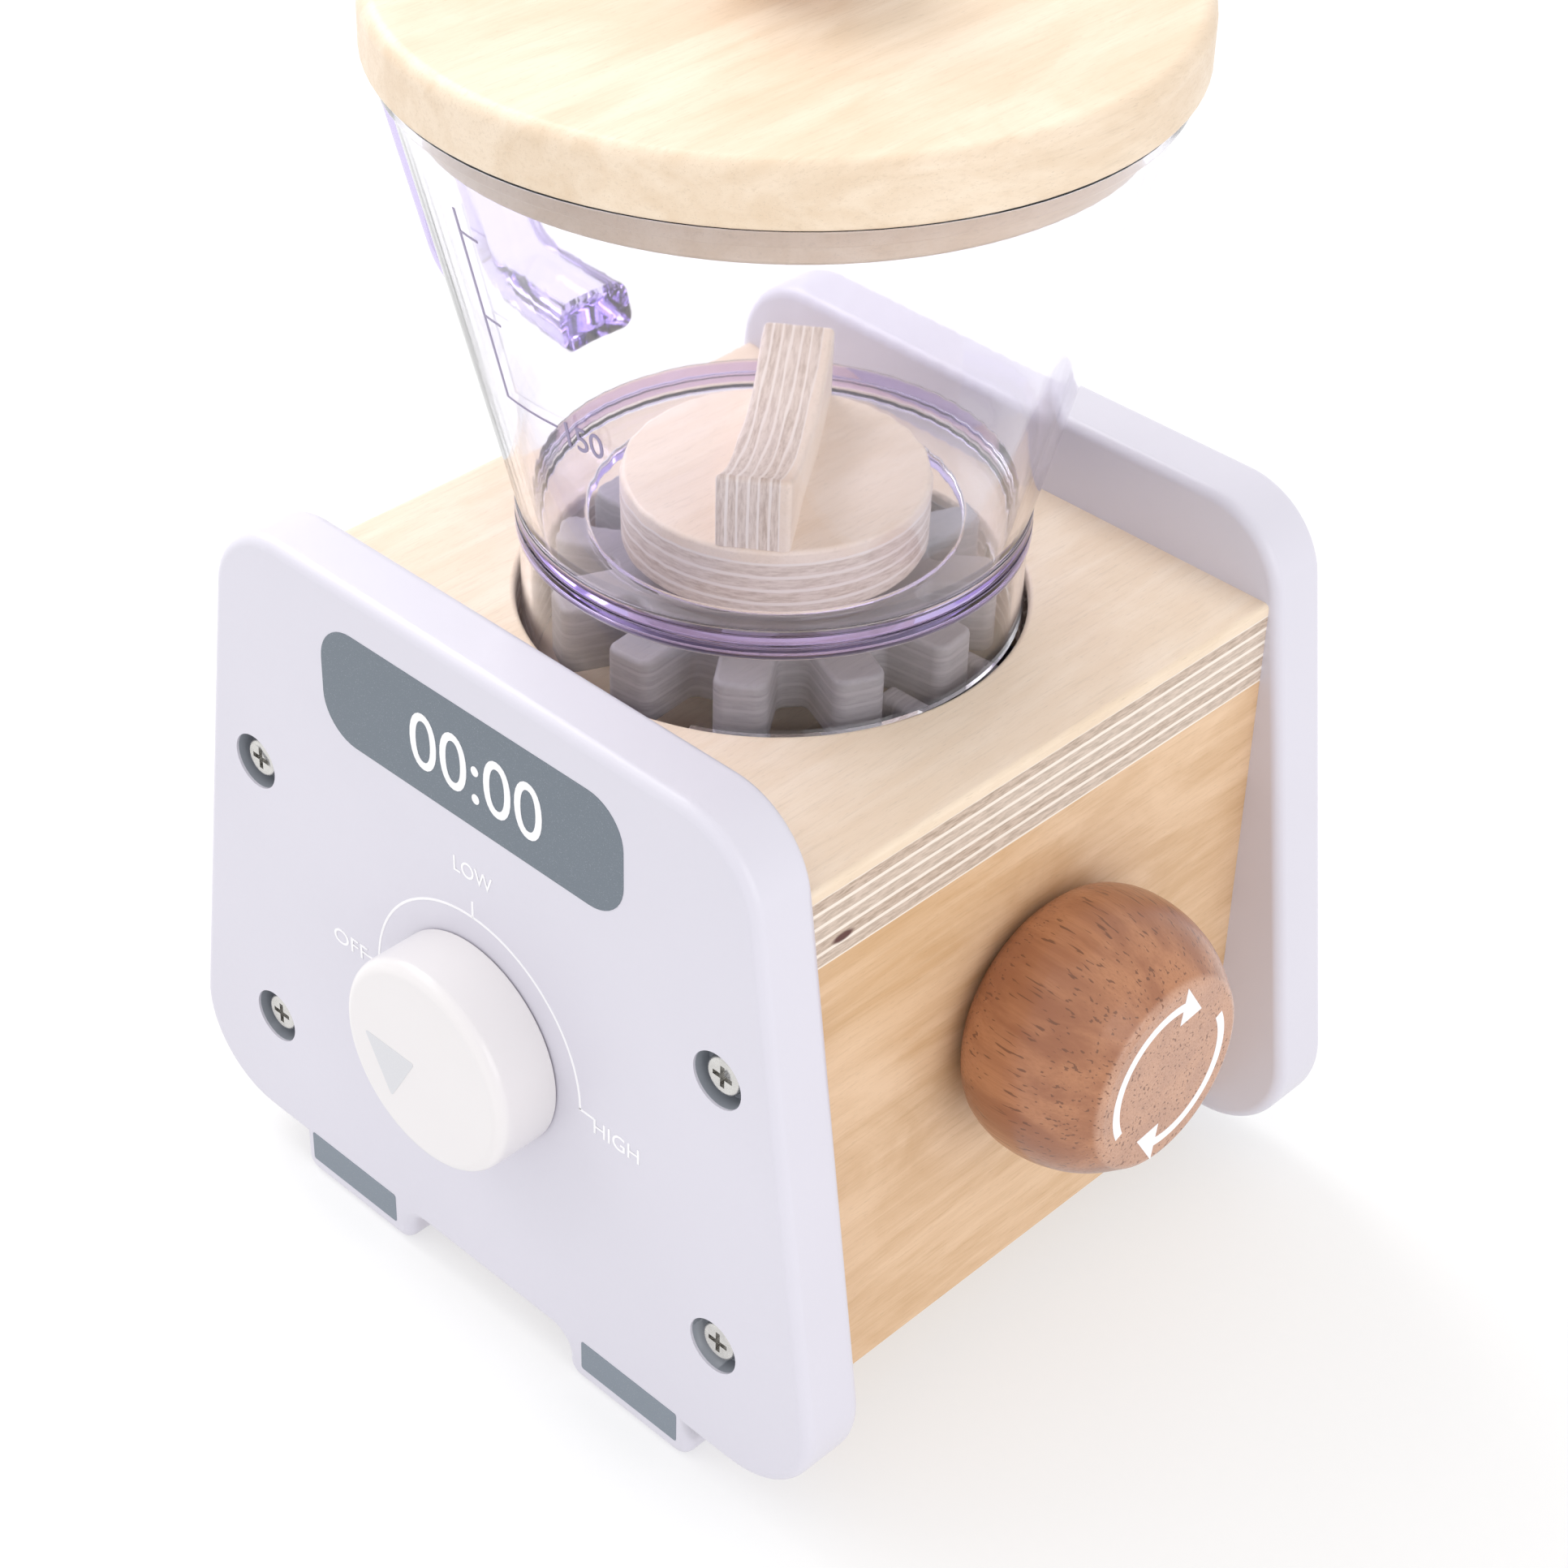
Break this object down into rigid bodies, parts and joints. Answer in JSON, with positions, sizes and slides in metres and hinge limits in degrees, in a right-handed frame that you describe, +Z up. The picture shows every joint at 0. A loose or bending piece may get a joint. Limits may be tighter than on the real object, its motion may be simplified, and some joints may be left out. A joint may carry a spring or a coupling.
{
  "type": "toy blender",
  "caption": "Wooden toy blender: box base with dial and side crank that turns a mixer through crossed gears, with a clear lift-off jug, handle and lid.",
  "frame": {"origin": "centre of the whole toy's footprint, on the surface it stands on", "axes": "+Z up, +Y from the dial's panel to the rear panel, +X towards the crank knob"},
  "size_m": [0.176, 0.143, 0.2462],
  "materials": {
    "panel_paint": "satin lavender-white paint on fibreboard",
    "birch_plywood": "clear satin lacquer, plies visible at the edges",
    "birch_board": "clear satin lacquer",
    "beech": "turned and clear lacquered",
    "grey_stain": "matt grey stain on plywood",
    "white_plastic": "warm white gloss",
    "steel": "zinc plated",
    "clear_plastic": "clear with a faint lilac tint"
  },
  "bodies": {
    "root": {"front_panel": "panel_paint", "rear_panel": "panel_paint", "top_plate": "birch_plywood", "gear_shelf": "birch_plywood", "left_side_board": "birch_board", "right_side_board": "birch_board", "bottom_board": "birch_board", "plate_dowels": "beech", "bottom_dowels": "beech", "front_screws": "steel", "rear_screws": "steel"},
    "dial": {"dial_knob": "white_plastic", "dial_spindle": "beech", "dial_washer": "steel", "dial_screw": "steel"},
    "crank": {"crank_knob": "beech", "crank_shaft": "beech", "crank_gear": "grey_stain", "crank_spacer": "beech"},
    "mixer": {"mixer_shaft": "beech", "drive_gear": "grey_stain", "drive_spacer": "beech", "hub_spacer": "beech", "mixer_washer": "steel", "mixer_screw": "steel", "hub_disc": "birch_plywood", "mixing_blade": "birch_plywood", "blade_dowels": "beech"},
    "jug": {"jug_body": "clear_plastic", "jug_handle": "clear_plastic"},
    "lid": {"lid_disc": "panel_paint", "lid_plug": "birch_plywood", "lid_knob": "beech", "lid_screw": "steel"}
  },
  "joints": [
    {"name": "dial_turn", "type": "hinge", "parent": "root", "child": "dial", "pos_m": [0, -0.0714, 0.0613], "axis": [0, 1, 0], "range_deg": [0, 180]},
    {"name": "crank_spin", "type": "hinge", "parent": "root", "child": "crank", "pos_m": [0.0605, 0.00595, 0.0685], "axis": [1, 0, 0], "continuous": true},
    {"name": "mixer_spin", "type": "hinge", "parent": "root", "child": "mixer", "pos_m": [0, 0.00595, 0.103], "axis": [0, 0, 1], "continuous": true},
    {"name": "jug_lift", "type": "slide", "parent": "root", "child": "jug", "axis": [0, 0, 1], "range_m": [0, 0.06]},
    {"name": "lid_lift", "type": "slide", "parent": "jug", "child": "lid", "axis": [0, 0, 1], "range_m": [0, 0.03]}
  ],
  "couplings": [
    {"joint": "mixer_spin", "follows": "crank_spin", "ratio": -1.3333}
  ]
}
